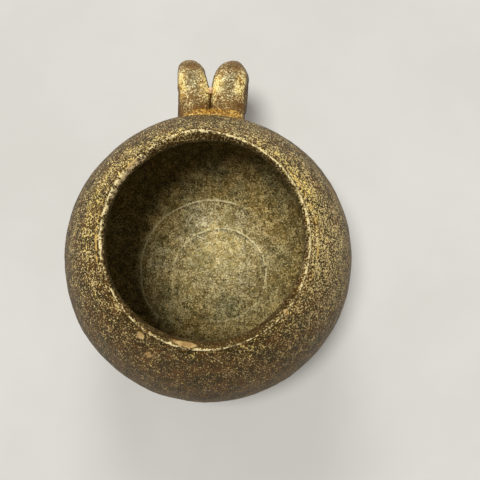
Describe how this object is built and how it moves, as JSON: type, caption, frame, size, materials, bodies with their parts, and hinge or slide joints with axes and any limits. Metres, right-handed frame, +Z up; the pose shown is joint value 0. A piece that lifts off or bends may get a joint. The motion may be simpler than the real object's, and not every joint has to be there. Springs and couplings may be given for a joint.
{
  "type": "stoneware flower pot with twin loops",
  "caption": "Small wheel-thrown globular stoneware pot with an incurved shoulder, a wide mouth and twin clay loops side by side, in speckled brown glaze.",
  "frame": {"origin": "centre of the flat base that the pot stands on, on the axis of the thrown body", "axes": "+Z up along the pot's axis to the mouth, +Y from the axis to the twin loops, +X to the right of the loops seen from the opposite side"},
  "size_m": [0.1, 0.1238, 0.07],
  "materials": {
    "body_glaze": "dark brown stoneware glaze speckled with tan and gold, satin, breaking to cream along the lip",
    "loop_glaze": "olive grey speckled glaze breaking to gold and orange along the edges, satin",
    "strip_glaze": "thin golden orange glaze over pressed clay, satin",
    "bare_clay": "bare pinkish tan fired clay, matt"
  },
  "bodies": {
    "root": {"pot_body": "body_glaze", "upper_clay_strip": "strip_glaze", "lower_clay_strip": "strip_glaze", "left_loop": "loop_glaze", "right_loop": "loop_glaze", "bridging_wad": "bare_clay"}
  },
  "joints": []
}
